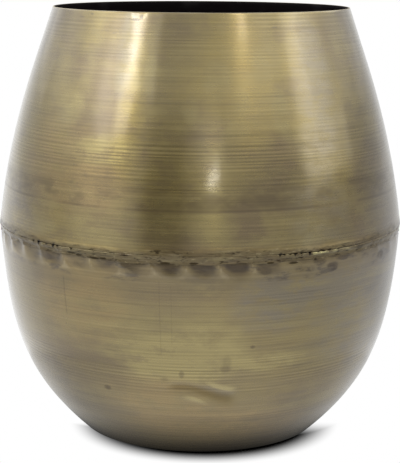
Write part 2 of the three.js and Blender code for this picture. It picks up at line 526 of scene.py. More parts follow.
def make_bowl(outside, inside):
    bend_top = BASE + FOOT_BEND * (1 - math.cos(BOWL_FOOT_RISE))
    side = geometry.interpolate_bezier(*bowl_line, BOWL_LINE_POINTS)
    plain = [point for point in side if bend_top + 0.5 * MM < point.y < CRIMP_START - 0.5 * MM]
    wall = [plain[i * (len(plain) - 1) // BOWL_STEPS] for i in range(BOWL_STEPS + 1)]
    heights = [CRIMP_START + (COLLAR_TOP - CRIMP_START) * i / CRIMP_STEPS for i in range(CRIMP_STEPS + 1)]
    collar = [Vector((wall_radius(height), height)) for height in heights]
    inner_wall = inset(wall, SHEET)
    inner_collar = inset(collar, SHEET)
    inner_collar[-1].y = COLLAR_TOP
    outer = base_section(0, BASE_STEPS_OUTSIDE) + wall + collar
    inner = base_section(SHEET, BASE_STEPS_INSIDE) + inner_wall[::3] + inner_collar
    made = spun(outer + inner[::-1], BOWL_SEGMENTS, False)
    for face in made.faces:
        face.material_index = int(looks_inwards(face))

    def move(angle, place):
        inwards = set_in(place.z) + crimp_depth(angle, place.z) + dent_depth(angle, place.z)
        wobbly = smooth(place.z, BASE + STEADY_FOOT, BASE + FULL_WOBBLE)
        return hand_wobble(angle, place.z) * wobbly - inwards, 0

    def hollow(angle, height):
        crimped = crimp_strength(angle) * crimp_flute(angle, height)
        return crimped + dent_depth(angle, height) / DENT_DEPTH

    shape_by_hand(made, move, hollow)
    finished(made, "lower_bowl_spun", (outside, inside), "lower_bowl")


@functools.cache
def filler_flow(angle):
    """How far the filler's lower part sinks into the crimps: 1 all the way, less where it bridges them."""
    return 0.92 + 0.25 * around(angle, 60, 14.5)


def make_braze(filler):
    heights = [BRAZE_LOW + (BRAZE_TOP - BRAZE_LOW) * i / BRAZE_STEPS for i in range(BRAZE_STEPS + 1)]
    outer = [Vector((wall_radius(height), height)) for height in heights]
    inner = [Vector((wall_radius(height) - BRAZE_LEAST, height)) for height in heights]
    made = spun(outer + inner[::-1], BRAZE_SEGMENTS, True)

    def move(angle, place):
        share = (place.z - BRAZE_LOW) / (BRAZE_TOP - BRAZE_LOW)
        ragged = (1.3 * around(angle, 40, 4.4) + 0.9 * around(angle, 150, 7.7) + 0.3) * MM
        closed_up = FILLED_UP * (1 - open_edge(angle))
        up = share ** 2 * (seam_wave(angle) + closed_up - pit_depth(angle)) + (1 - share) ** 2 * ragged
        depth = set_in(place.z + up) + crimp_depth(angle, place.z + up) - BRAZE_CLEARANCE
        if place.xy.length < wall_radius(place.z) - BRAZE_LEAST / 2:
            return BRAZE_LEAST - max(depth, BRAZE_LEAST), up
        spot = Vector((angle * BELLY_RADIUS, place.z, 0)) / BEAD_GRAIN
        grainy = (0.14 * noise.noise(spot) + 0.07 * noise.noise(spot * 2.7) - 0.12) * MM
        sunk = (1 - smooth(share, 0.05, 0.85)) * max(depth - BRAZE_LEAST, 0) * filler_flow(angle)
        return grainy * smooth(share, 0, 0.3) - sunk + drop_height(angle) * hump(share, 0.8, 0.35), up

    def hollow(angle, height):
        share = (height - BRAZE_LOW) / (BRAZE_TOP - BRAZE_LOW)
        pits = min(pit_depth(angle) / MM, 1.2) * smooth(share, 0.45, 0.95)
        return pits - drop_height(angle) / (0.7 * MM) * hump(share, 0.8, 0.35)

    shape_by_hand(made, move, hollow)
    finished(made, "braze_filler", (filler,), "braze_bead")


def make_pad(node, felt):
    low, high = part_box(node)
    made = bmesh.new()
    bmesh.ops.create_cone(
        made,
        cap_ends=True,
        cap_tris=False,
        segments=64,
        radius1=(high.x - low.x) / 2,
        radius2=(high.x - low.x) / 2,
        depth=high.z - low.z,
        matrix=Matrix.Translation((low + high) / 2),
    )
    rims = [edge for edge in made.edges if abs(edge.verts[0].co.z - edge.verts[1].co.z) < 0.01 * MM]
    round_edges(made, rims, PAD_ROUNDING, 3)
    finished(made, node + "_disc", (felt,), node)


# Nodes

class Network:
    """The nodes of one material, or of the world."""

    def __init__(self, owner):
        owner.use_nodes = True
        self.tree = owner.node_tree
        self.tree.nodes.clear()

    def node(self, kind, settings=None, sockets=None):
        """Adds a node: its settings first, then a number, colour or link for each of its sockets."""
        made = self.tree.nodes.new(kind)
        for name, setting in (settings or {}).items():
            setattr(made, name, setting)
        for name, value in (sockets or {}).items():
            source = value.socket if isinstance(value, Value) else value
            if isinstance(source, bpy.types.NodeSocket):
                self.tree.links.new(source, made.inputs[name])
            else:
                made.inputs[name].default_value = source
        return made

    def value(self, kind, settings=None, sockets=None, output=0):
        return Value(self, self.node(kind, settings, sockets).outputs[output])

    def maths(self, operation, *terms):
        return self.value("ShaderNodeMath", {"operation": operation}, dict(enumerate(terms)))

    def mix(self, share, first, second, blend="MIX"):
        """A colour that goes from first to second as share goes from 0 to 1."""
        settings = {"data_type": "RGBA", "blend_type": blend, "clamp_factor": True}
        return self.node("ShaderNodeMix", settings, {0: share, 6: first, 7: second}).outputs[2]

    def split(self, vector):
        parts = self.node("ShaderNodeSeparateXYZ", None, {0: vector}).outputs
        return [Value(self, socket) for socket in parts]

    def turn_to(self, x, y):
        """The angle of a place or direction, in degrees from the front."""
        return self.maths("ARCTAN2", x, y * -1) * math.degrees(1)


class Value:
    """A number that changes over a surface, for sums written as plain expressions."""

    def __init__(self, network, socket):
        self.network = network
        self.socket = socket

    def __add__(self, other):
        return self.network.maths("ADD", self, other)

    __radd__ = __add__

    def __mul__(self, other):
        return self.network.maths("MULTIPLY", self, other)

    __rmul__ = __mul__

    def __sub__(self, other):
        return self.network.maths("SUBTRACT", self, other)

    def __rsub__(self, other):
        return self.network.maths("SUBTRACT", other, self)

    def __truediv__(self, other):
        return self.network.maths("DIVIDE", self, other)

    def __abs__(self):
        return self.network.maths("ABSOLUTE", self)

    def greater(self, other):
        return self.network.maths("MAXIMUM", self, other)

    def lesser(self, other):
        return self.network.maths("MINIMUM", self, other)

    def wave(self, length):
        """An even wave from -1 to 1."""
        return self.network.maths("SINE", self * (2 * math.pi / length))

    def smooth(self, low, high):
        """0 at low, 1 at high, and an even S between them. High may be the lesser, for a fall."""
        sockets = {"Value": self, "From Min": low, "From Max": high}
        return self.network.value("ShaderNodeMapRange", {"interpolation_type": "SMOOTHSTEP"}, sockets)

    def hump(self, centre, half_width):
        return abs(self - centre).smooth(half_width, 0)

    def between(self, low, high, edge):
        """1 from low to high, with soft ends of that width outside them."""
        return self.smooth(low - edge, low) * self.smooth(high + edge, high)


class Finish(Network):
    """A material under way, with the places on the vase that its patterns follow."""

    def __init__(self, name):
        self.material = bpy.data.materials.new(name)
        super().__init__(self.material)
        self.place = self.node("ShaderNodeTexCoord").outputs["Object"]
        x, y, self.height = self.split(self.place)
        self.turn = self.turn_to(x, y)

    def grain(self, across, up, detail=2.0, roughness=0.5, layer=0.0, distortion=0.0):
        """Noise from 0 to 1, with so many features to the metre across and up."""
        sockets = {"Vector": self.place, "Scale": (across, across, up), "Location": (layer,) * 3}
        scaled = self.node("ShaderNodeMapping", None, sockets)
        sockets = {
            "Vector": scaled.outputs[0],
            "Scale": 1.0,
            "Detail": detail,
            "Roughness": roughness,
            "Distortion": distortion,
        }
        return self.value("ShaderNodeTexNoise", None, sockets)

    def hollow(self):
        """How deep a place lies, from the mesh: 1 in a trough, below 0 where it stands proud."""
        return self.value("ShaderNodeAttribute", {"attribute_name": "hollow"}, None, "Fac")

    def spot(self, turn, height, half_width, half_height):
        """1 at an angle in degrees and a height above the base, fading to its half sizes in millimetres."""
        across = (self.turn - turn) * (math.radians(1) * BELLY_RADIUS / (half_width * MM))
        up = (self.height - (BASE + height * MM)) / (half_height * MM)
        return (across * across + up * up).smooth(1, 0)

    def spots(self, places):
        """The sum of several spots."""
        return sum((self.spot(*place) for place in places), 0.0)

    def patch(self, colour, share, painted, places):
        """Colour with cloudy patches of another colour at spots."""
        ragged = self.grain(55, 120, 4, 0.65, 13.3)
        mask = self.spots(places)
        return self.mix((mask * 1.4 * ragged.smooth(0.2, 0.75)).lesser(1.0) * share, colour, painted)

    def scratch(self, turn, low, high, half_width):
        """A thin upright scratch between two heights above the base, in millimetres."""
        line = self.turn.hump(turn, math.degrees(half_width * MM / BELLY_RADIUS))
        return line * self.height.between(BASE + low * MM, BASE + high * MM, 3 * MM)

    def marks(self, places, draw):
        """The strongest of some spots or scratches at each place. Each row ends with how strong it is."""
        drawn = [draw(*place) * strong for *place, strong in places]
        return functools.reduce(Value.greater, drawn)

    def done(self, relief, **sockets):
        """Ends the material with its shader, whose relief is in millimetres."""
        bump = self.node("ShaderNodeBump", None, {"Strength": 1.0, "Distance": MM, "Height": relief})
        sockets = {name.replace("_", " "): value for name, value in sockets.items()}
        sockets["Normal"] = bump.outputs[0]
        shader = self.node("ShaderNodeBsdfPrincipled", None, sockets)
        self.node("ShaderNodeOutputMaterial", None, {"Surface": shader.outputs[0]})
        return self.material


def tint(red, green, blue):
    return (red, green, blue, 1.0)


OLIVE_BRASS = tint(0.193, 0.144, 0.043)
GOLDEN_BRASS = tint(0.235, 0.174, 0.042)
GREEN_GOLD = tint(0.232, 0.18, 0.057)
PALE_GOLD = tint(0.285, 0.226, 0.076)
SILVERED_SHEEN = tint(0.215, 0.182, 0.118)
SILVER_GILT_SHEEN = tint(0.36, 0.3, 0.175)
CREASE_SHADE_AND_GRIME = tint(0.083, 0.053, 0.018)
BEAD_YELLOW = tint(0.37, 0.33, 0.16)
WARM_BRASS = tint(0.243, 0.168, 0.056)
DULL_BRASS = tint(0.176, 0.13, 0.056)
BROWN_PATINA = tint(0.155, 0.107, 0.04)
GREY_PATINA = tint(0.158, 0.133, 0.094)
DARK_OLIVE = tint(0.104, 0.073, 0.022)
STAIN = tint(0.075, 0.052, 0.026)
SOOT = tint(0.02, 0.014, 0.009)
SCALE_BROWN = tint(0.05, 0.034, 0.02)
CRUST_BROWN = tint(0.12, 0.09, 0.047)
CRUST_OLIVE = tint(0.18, 0.146, 0.075)
CRUST_PALE = tint(0.33, 0.28, 0.165)
RUBBED_AND_LIT_BRASS = tint(0.55, 0.46, 0.27)
WORN_AND_LIT_BRASS = tint(0.34, 0.275, 0.11)
CUT_BRASS = tint(0.5, 0.44, 0.3)
CUT_BRASS_DULL = tint(0.32, 0.27, 0.17)
LACQUER_BLACK = tint(0.009, 0.006, 0.007)
LACQUER_DUST = tint(0.024, 0.019, 0.019)
FELT_BLACK = tint(0.012, 0.011, 0.011)
FELT_FIBRE = tint(0.045, 0.042, 0.04)

# The clear lacquer over the brass, and the brushing under it
LACQUERED = {"Coat_Roughness": 0.14, "Coat_IOR": 1.7}
BRUSHED = {"Anisotropic": 0.65, "Anisotropic_Rotation": 0.25}

TOOL_PITCH = 2.35 * MM
# Where the turning tool left strong lines: height above the base, half width, and how strong
TOOL_BANDS = ((208, 34, 0.85), (288, 34, 0.6), (68, 17, 1.0))


def spun_brass(finish, layer, ringed):
    """Colour, roughness and relief in millimetres of a spun half before its stains, and its lines' shade."""
    cloud = finish.grain(13, 17, 4, 0.55, layer)
    mottle = finish.grain(45, 70, 3, 0.6, layer + 3.7)
    sway = finish.grain(0, 90, 2, 0.5, layer + 8.2)
    fading = finish.grain(20, 130, 3, 0.6, layer + 6.6)
    rings = finish.grain(1.5, 420, 3, 0.7, layer + 1.1)
    hairlines = finish.grain(5, 1300, 2, 0.7, layer + 5.3)
    tool_wave = (finish.height + sway * (6 * MM)).wave(TOOL_PITCH) * fading.smooth(0.3, 0.62)
    bands = (finish.height.hump(BASE + at * MM, half * MM) * strong for at, half, strong in TOOL_BANDS)
    worked = sum(bands, 0.0)
    # Painted light: the lines are painted fainter round the sides, where the lighting shows them less
    fainter_at_sides = abs(finish.turn).between(38, 100, 18)

    colour = finish.mix(cloud.smooth(0.44, 0.62), OLIVE_BRASS, GOLDEN_BRASS)
    colour = finish.mix(cloud.smooth(0.48, 0.34), colour, BROWN_PATINA)
    colour = finish.mix(mottle.smooth(0.5, 0.7) * 0.6, colour, GREEN_GOLD)
    colour = finish.mix(mottle.smooth(0.47, 0.3) * 0.5, colour, BROWN_PATINA)
    lines = tool_wave * (0.07 + worked * 0.2) + (rings - 0.5) * ringed + (hairlines - 0.5) * 0.45
    shade = 1 + lines * (1 - fainter_at_sides * 0.35)
    relief = tool_wave * (0.005 + worked * 0.012) + rings * 0.011 + hairlines * 0.001 + cloud * 0.15
    rough = 0.27 + (mottle - 0.5) * 0.12 + (rings - 0.5) * 0.1
    return colour, rough, relief, shade


def lined(finish, colour, shade, layer, streaked):
    """Paint under the lines of the tool, with brown that settled in some of them."""
    smears = finish.grain(10, 105, 4, 0.58, layer + 9.4)
    colour = finish.mix(1.0, colour, shade, "MULTIPLY")
    colour = finish.mix(smears.smooth(0.5, 0.34) * streaked, colour, PALE_GOLD)
    return finish.mix(smears.smooth(0.52, 0.7) * streaked, colour, STAIN)


# Slits at the crimps' tops in painted soot and shadow: angle, height, half width and half height in
# millimetres
SLITS = (
    (-36.0, 145.0, 4.5, 0.9),
    (-33.5, 144.2, 3, 1.2),
    (-28.5, 143.4, 4, 0.9),
    (-26.0, 143.8, 3, 0.8),
    (-9.0, 143.6, 4, 0.9),
    (-1.5, 143.8, 3.5, 0.8),
    (18.5, 143.0, 3, 0.8),
    (25.0, 142.0, 4, 0.8),
)
# Dark smudges of the torch right of the front: angle, height, half width and half height in millimetres
SMUDGES = (
    (17, 138.5, 9, 4),
    (28.5, 137.5, 9, 4.5),
    (33, 141, 7, 3),
    (37.5, 137, 6, 4),
    (41, 141.5, 8, 2),
    (50.5, 139.5, 6, 3),
    (59, 137, 6, 4),
)


def joint_crust(finish, colour, rough, relief):
    """Scale, soot and spilt filler by the seam, with painted shadow in the slits, in one pattern over all
    three pieces, and where it is dull.
    """
    height = finish.height - BASE
    wander = (finish.grain(24, 24, 3, 0.6, 1.9) - 0.5) * (9 * MM)
    zone = (height + wander).between(144.5 * MM, 150 * MM, 3.5 * MM)
    crust = finish.grain(75, 210, 4, 0.65, 7.7)
    specks = finish.grain(170, 560, 4, 0.7, 9.1)
    streaks = finish.grain(60, 760, 4, 0.65, 17.1)
    drifts = finish.grain(32, 60, 3, 0.6, 15.2)
    olive = crust.smooth(0.36, 0.6) * drifts.smooth(0.36, 0.56)
    olive = olive * (height + wander * 0.6).smooth(143 * MM, 147 * MM)
    dull = zone * abs(finish.turn).smooth(75, 55) * 0.5
    colour = finish.mix(zone * 0.85, colour, finish.mix(olive, CRUST_BROWN, CRUST_OLIVE))
    colour = finish.mix(zone * streaks.smooth(0.45, 0.3) * 0.4, colour, CRUST_PALE)
    colour = finish.mix(zone * specks.smooth(0.41, 0.3) * 0.3, colour, RUBBED_AND_LIT_BRASS)
    slits = finish.spots(SLITS)
    soot_and_shade = zone * (specks.smooth(0.53, 0.68).greater(streaks.smooth(0.56, 0.7) * 0.65))
    soot_and_shade = soot_and_shade.greater((slits * 2 * crust.smooth(0.34, 0.56)).lesser(0.8))
    colour = finish.mix(soot_and_shade * 0.9, colour, SOOT)
    relief = relief + zone * (crust * 0.5 + specks * 0.2 + streaks * 0.12)
    return colour, rough + zone * 0.1, relief, dull.greater(soot_and_shade)


# Lighter spots high on the shell: angle, height, half width and half height in millimetres
GOLD_SPOTS = (
    (5, 257, 14, 16),
    (12, 243, 9, 13),
    (19, 266, 9, 12),
    (-3, 238, 8, 10),
    (10, 226, 13, 8),
    (24, 236, 9, 20),
    (-16, 262, 6, 18),
    (3, 167, 22, 15),
    (3, 187, 12, 12),
    (32, 163, 20, 11),
    (-27, 158, 22, 7),
    (-46, 160, 14, 6),
)
# Scratches by the rim: angle, height, half width and half height in millimetres, and how strong
RIM_SCRATCHES = (
    (-23.6, 293.6, 6, 0.9, 1.0),
    (-21.3, 295.6, 1.6, 1.8, 1.0),
    (-48, 294, 5, 0.7, 0.7),
    (-43, 296, 3, 0.8, 0.7),
    (26, 289, 4, 0.9, 0.6),
    (-31, 285, 3, 0.7, 0.5),
)


def shell_outside():
    finish = Finish("aged_brass_shell")
    colour, rough, relief, shade = spun_brass(finish, 0.0, 0.5)
    height = finish.height - BASE
    patches = finish.grain(38, 90, 4, 0.6, 2.3)
    speckle = finish.grain(160, 260, 3, 0.6, 4.9)

    # Clouds of tone on the shell, partly patina and partly painted reflections and shade
    upper_gold = ((8, 258, 44, 36), (14, 232, 30, 22), (-21, 225, 16, 50))
    colour = finish.patch(colour, 0.7, GOLDEN_BRASS, upper_gold)
    colour = finish.patch(colour, 0.8, GOLDEN_BRASS, ((-60, 250, 34, 52), (61, 248, 34, 52)))
    colour = finish.patch(colour, 0.9, GREEN_GOLD, GOLD_SPOTS)
    # Painted shade: the first dark olive patch, left of the front, stands in for a dark reflection there,
    # over olive tone
    colour = finish.patch(colour, 0.45, DARK_OLIVE, ((-8, 172, 22, 36), (20, 193, 34, 26), (28, 183, 40, 8)))
    colour = finish.patch(colour, 0.7, BROWN_PATINA, ((58, 190, 38, 34),))
    colour = finish.patch(colour, 0.8, WARM_BRASS, ((-46, 200, 46, 44), (-30, 186, 40, 20)))
    # Painted highlight: the first pale gold patch carries the key light's streak down to its tail
    colour = finish.patch(colour, 0.8, PALE_GOLD, ((-29, 212, 34, 12), (-43, 236, 18, 14), (30, 159, 13, 9)))
    # Painted reflection: the silver-gilt and silvered patches pale the brass where the silvery streaks at the
    # right and the key highlight fall, over a silvery tone
    colour = finish.patch(colour, 0.55, SILVER_GILT_SHEEN, ((36, 216, 24, 30),))
    colour = finish.patch(colour, 0.8, DULL_BRASS, ((65, 168, 36, 30), (-62, 172, 34, 24)))
    colour = finish.patch(colour, 0.45, SILVERED_SHEEN, ((34, 172, 32, 36),))
    colour = finish.patch(colour, 0.65, SILVERED_SHEEN, ((38, 256, 27, 56), (-25, 278, 12, 40)))
    colour = finish.patch(colour, 0.65, BROWN_PATINA, ((-32, 272, 17, 46),))
    colour = finish.patch(colour, 0.45, STAIN, ((-57, 165, 40, 22), (62, 170, 38, 26)))
    colour = lined(finish, colour, shade, 0.0, 0.2)
    # The painted dark band left of the front also gets less coat, so it shines less
    matt = finish.spot(-8, 190, 28, 62)

    scratched = finish.marks(RIM_SCRATCHES, finish.spot)
    colour = finish.mix(scratched * 0.6, colour, STAIN)

    # Tide mark above the seam
    wander = (finish.grain(14, 14, 2, 0.5, 6.1) - 0.5) * (12 * MM)
    tide = (height + wander).between(181 * MM, 187 * MM, 7 * MM) * patches.smooth(0.4, 0.62)
    tide_line = (height + wander * 0.12).hump(176.5 * MM, 1.7 * MM) * patches.smooth(0.3, 0.58)
    stain = (tide * 0.5).greater(tide_line * 0.6)
    colour = finish.mix(stain, colour, STAIN)

    # Heat of the brazing: golden patches, then brown scale and soot by the cut edge
    heated = height.between(156 * MM, 167 * MM, 7 * MM) * patches.smooth(0.5, 0.68)
    colour = finish.mix(heated * 0.6, colour, GREEN_GOLD)
    scorched = height.smooth(157 * MM, 149 * MM) * (0.4 + patches.smooth(0.4, 0.62) * 0.6)
    colour = finish.mix(scorched * 0.6, colour, BROWN_PATINA)
    relief = relief - scratched * 0.06 + (patches - 0.5) * scorched * 0.25 + (speckle - 0.5) * scorched * 0.1
    colour, rough, relief, dull = joint_crust(finish, colour, rough, relief)
    # Painted shade and soot: dark at the shell's cut edge, where the gap beneath it opens and where the
    # filler missed
    soot_and_shade = finish.hollow().smooth(0.2, 0.8)
    colour = finish.mix(soot_and_shade, colour, SOOT)

    rough = rough + stain * 0.08 + scorched * 0.05 + soot_and_shade * 0.2
    return finish.done(
        relief,
        Base_Color=colour,
        Roughness=rough,
        Metallic=1 - soot_and_shade * 0.7,
        Coat_Weight=0.2 + shade * 0.75 - matt * 0.3 - stain * 0.4 - scorched * 0.3 - dull - soot_and_shade,
        **LACQUERED,
        **BRUSHED,
    )


# Marks of handling on the bowl: angle, height, half width and half height in millimetres, and how strong
KNOCKS = (
    (-29, 53, 4, 2.4, 0.7),
    (14.7, 87, 2.4, 1.6, 0.6),
    (7.4, 72, 5, 3.4, 0.4),
    (7.8, 77, 4, 6, 0.25),
    (-5, 68, 2.6, 3.6, 0.45),
    (-10, 64, 4, 2, 0.3),
)
# Upright scratches on the bowl: angle, both heights and half width in millimetres, and how strong
BOWL_SCRATCHES = (
    (-39, 104, 127, 0.6, 0.5),
    (-10.5, 83, 130, 0.4, 0.3),
    (-7.4, 90, 128, 0.4, 0.25),
)


def bowl_outside():
    finish = Finish("aged_brass_bowl")
    colour, rough, relief, shade = spun_brass(finish, 11.0, 0.38)
    colour = finish.mix(0.45, colour, DULL_BRASS)
    height = finish.height - BASE
    patches = finish.grain(38, 60, 4, 0.6, 2.3)
    hollow = finish.hollow()

    # Clouds of tone on the bowl, partly patina and partly painted reflections and shade
    green = ((-1, 92, 56, 26), (-28, 103, 56, 20), (-14, 52, 44, 14), (36, 78, 32, 18))
    colour = finish.patch(colour, 0.8, GREEN_GOLD, green)
    # Painted reflection: the first pale gold patch, low on the front, stands in for the bright floor seen in
    # the bowl
    pale_and_reflected = ((1, 84, 40, 26), (-14, 84, 48, 16), (-8, 68, 40, 14), (20, 76, 34, 9), (-30, 103, 40, 10))
    colour = finish.patch(colour, 1.0, PALE_GOLD, pale_and_reflected)
    # Painted shade: the second brown patch, just below the crimps at the front
    colour = finish.patch(colour, 0.5, BROWN_PATINA, ((-44, 66, 56, 20), (-4, 122, 60, 14), (36, 52, 56, 18)))
    # Painted shade: the first dark olive patch, under the crimps at the front
    colour = finish.patch(colour, 0.5, DARK_OLIVE, ((3, 131, 34, 12), (32, 40, 36, 8), (-44, 40, 48, 16)))
    # Darker brown low on the front, towards the bottom
    colour = finish.patch(colour, 0.6, BROWN_PATINA, ((0, 16, 110, 34), (24, 24, 60, 24)))
    colour = finish.patch(colour, 0.9, WARM_BRASS, ((-34, 112, 50, 34), (-12, 48, 60, 22), (6, 27, 100, 20)))
    greyed = ((50, 108, 60, 52), (30, 128, 46, 16), (64, 66, 44, 44), (68, 128, 36, 30), (20, 116, 36, 26))
    colour = finish.patch(colour, 0.75, GREY_PATINA, greyed)
    # Painted shade: the second and third stain patches, low at the left and under the crimps at the front
    colour = finish.patch(colour, 0.4, STAIN, ((61, 124, 36, 32), (-50, 61, 40, 20), (0.5, 131, 16, 9)))
    colour = lined(finish, colour, shade, 11.0, finish.turn.between(28, 80, 14) * 0.1 + 0.25)

    scorched = height.smooth(122 * MM, 142 * MM) * (0.5 + patches.smooth(0.4, 0.62) * 0.5)
    colour = finish.mix(scorched * 0.6, colour, BROWN_PATINA)
    blotches = finish.grain(40, 130, 4, 0.65, 12.4)
    blotched = (height + (blotches - 0.5) * (8 * MM)).between(134 * MM, 146 * MM, 4 * MM)
    blotched = blotched * blotches.smooth(0.5, 0.62)
    colour = finish.mix(blotched * 0.7, colour, SCALE_BROWN)
    # Painted shade and grime in the crimps' troughs, darkest at the front, with smudges of the torch
    darkest = finish.spot(3, 139, 44, 30)
    grime_and_shade = hollow.smooth(0.15, 0.8) * (blotches.smooth(0.25, 0.55) * 0.7 + darkest * 0.6).lesser(1.0)
    grime_and_shade = grime_and_shade * height.smooth(115 * MM, 125 * MM) * (1 - finish.turn.between(33, 80, 8) * 0.6)
    flecks = finish.grain(120, 260, 4, 0.65, 5.5)
    smudged = finish.spots(SMUDGES) * 2.2 * blotches.smooth(0.3, 0.6) * flecks.smooth(0.32, 0.6)
    grime_and_shade = grime_and_shade.greater(smudged.lesser(1.0) * 0.75)
    colour = finish.mix(grime_and_shade * 0.85, colour, SCALE_BROWN)

    # The dent's crease in painted shade and grime, its lips in painted highlight and wear, and the crimps'
    # ridges in painted highlight and rubbing
    low_down = height.smooth(85 * MM, 75 * MM)
    crease_shade_and_grime = hollow.smooth(0.0, 1.1) * low_down
    colour = finish.mix(crease_shade_and_grime * (0.05 + blotches * 0.75), colour, CREASE_SHADE_AND_GRIME)
    lip_highlight_and_wear = hollow.smooth(-0.02, -0.3) * low_down
    colour = finish.mix(lip_highlight_and_wear * 0.9, colour, WORN_AND_LIT_BRASS)
    ridge_highlight_and_wear = hollow.smooth(0.2, 0.0) * height.between(136 * MM, 142 * MM, 4 * MM)
    ridge_highlight_and_wear = ridge_highlight_and_wear * (1 - finish.turn.between(26, 90, 12))
    colour = finish.mix(ridge_highlight_and_wear * (0.05 + patches.smooth(0.42, 0.6) * 0.25), colour, RUBBED_AND_LIT_BRASS)
    colour, rough, relief, dull = joint_crust(finish, colour, rough, relief)
    # Painted shade and oxide: the collar under the filler is dark, so gaps in the filler look black
    buried_oxide_and_shade = height.smooth(145.5 * MM, 148 * MM)
    colour = finish.mix(buried_oxide_and_shade, colour, SOOT)

    marks = finish.marks(KNOCKS, finish.spot).greater(finish.marks(BOWL_SCRATCHES, finish.scratch))
    colour = finish.mix(marks, colour, STAIN)

    lowest = height.smooth(60 * MM, 15 * MM)
    rough = rough + scorched * 0.08 + grime_and_shade * 0.2
    relief = relief - marks * 0.04 + (patches - 0.5) * scorched * 0.2
    return finish.done(
        relief,
        Base_Color=colour,
        Roughness=rough,
        Metallic=1 - grime_and_shade * 0.4,
        Coat_Weight=0.25 + shade * 0.7 - grime_and_shade * 0.6 - crease_shade_and_grime * 0.45 - marks * 0.4 - dull - lowest * 0.25,
        **LACQUERED,
        **BRUSHED,
    )


def black_lacquer():
    finish = Finish("black_lacquer")
    orange_peel = finish.grain(240, 240, 2, 0.5)
    dust = finish.grain(60, 60, 4, 0.6, 2.2).smooth(0.55, 0.75)
    lines = finish.grain(4, 420, 2, 0.5, 3.3)
    colour = finish.mix(dust * 0.5, LACQUER_BLACK, LACQUER_DUST)
    return finish.done(
        orange_peel * 0.03 + lines * 0.01,
        Base_Color=colour,
        Roughness=0.42 + dust * 0.15 + (lines - 0.5) * 0.08,
        Specular_IOR_Level=0.4,
    )


def cut_rim():
    finish = Finish("cut_brass_rim")
    file_marks = finish.grain(900, 40, 2, 0.6)
    dull = finish.grain(30, 30, 3, 0.5, 1.7)
    colour = finish.mix(dull.smooth(0.35, 0.65), CUT_BRASS_DULL, CUT_BRASS)
    return finish.done(file_marks * 0.02, Base_Color=colour, Roughness=0.3 + dull * 0.2, Metallic=1.0)


def braze_alloy():
    finish = Finish("braze_alloy")
    mottle = finish.grain(60, 120, 4, 0.6)
    grit = finish.grain(600, 600, 3, 0.6, 2.9)
    hollow = finish.hollow()
    colour = finish.mix(mottle.smooth(0.36, 0.66), BROWN_PATINA, GREEN_GOLD)
    rough = 0.3 + (mottle - 0.5) * 0.1
    colour, rough, relief, dull = joint_crust(finish, colour, rough, grit * 0.08)
    # Painted highlight: drops that stand proud are paler yellow, over their bare filler
    bare_and_lit_drops = hollow.smooth(-0.2, -0.8)
    colour = finish.mix(bare_and_lit_drops * 0.9, colour, BEAD_YELLOW)
    # Painted shade and flux: dark where the filler is missing under the shell's edge
    flux_and_shade = hollow.smooth(0.25, 0.8)
    colour = finish.mix(flux_and_shade, colour, SOOT)
    return finish.done(
        relief,
        Base_Color=colour,
        Roughness=rough - bare_and_lit_drops * 0.16 + flux_and_shade * 0.2,
        Metallic=1 - flux_and_shade * 0.6,
        Coat_Weight=0.8 - dull - flux_and_shade,
        **LACQUERED,
    )


def black_felt():
    finish = Finish("black_felt")
    fibres = finish.grain(1400, 1400, 4, 0.7, 0.0, 1.5)
    fluff = finish.grain(260, 260, 3, 0.6, 3.1)
    colour = finish.mix(fibres.smooth(0.4, 0.68), FELT_BLACK, FELT_FIBRE)
    return finish.done(
        fibres * 0.25 + fluff * 0.2,
        Base_Color=colour,
        Roughness=0.92 + (fluff - 0.5) * 0.12,
        Sheen_Weight=0.35,
        Sheen_Roughness=0.5,
    )


# The vase
brass_inside = black_lacquer()
make_shell(shell_outside(), brass_inside, cut_rim())
make_bowl(bowl_outside(), brass_inside)
make_braze(braze_alloy())
felt = black_felt()
for pad in sorted(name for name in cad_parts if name.startswith("felt_pad")):
    make_pad(pad, felt)


# Studio
DAYLIGHT = 0.6
RING_DIMMING = 0.3
QUARTER_DIMMING = 0.34
RIGHT_DIMMING = 0.22
RIGHT_FLOOR_DIMMING = 0.13
LEFT_DIMMING = 0.08
# Bright parts of the tent: direction, half width, rise and half height in degrees, and extra brightness
PANELS = (
    (-74, 34, 42, 30, 0.85),
    (-98, 50, 25, 19, 0.8),
    (-58, 27, 5, 15, 0.45),
    (76, 34, 34, 27, 0.7),
    (84, 11, 34, 9, 1.3),
    (130, 18, 26, 12, 0.65),
    (-64, 13, 24, 9, 1.9),
    (-84, 14, 30, 11, 0.4),
    (-134, 18, 30, 12, 0.75),
    (106, 48, 25, 19, 0.68),
    (42, 24, 40, 22, 0.45),
    (6, 12, 21, 9, 0.35),
    (150, 30, 40, 30, 0.5),
    (-155, 26, 34, 30, 0.7),
)
SHADOW_REACH = 45 * MM
FLOOR_HALF_SIZE = 14
LAMP_AWAY = 1.3
COOL_WHITE = (0.97, 0.99, 1.0)
SOFT_WHITE = (1.0, 0.97, 0.94)


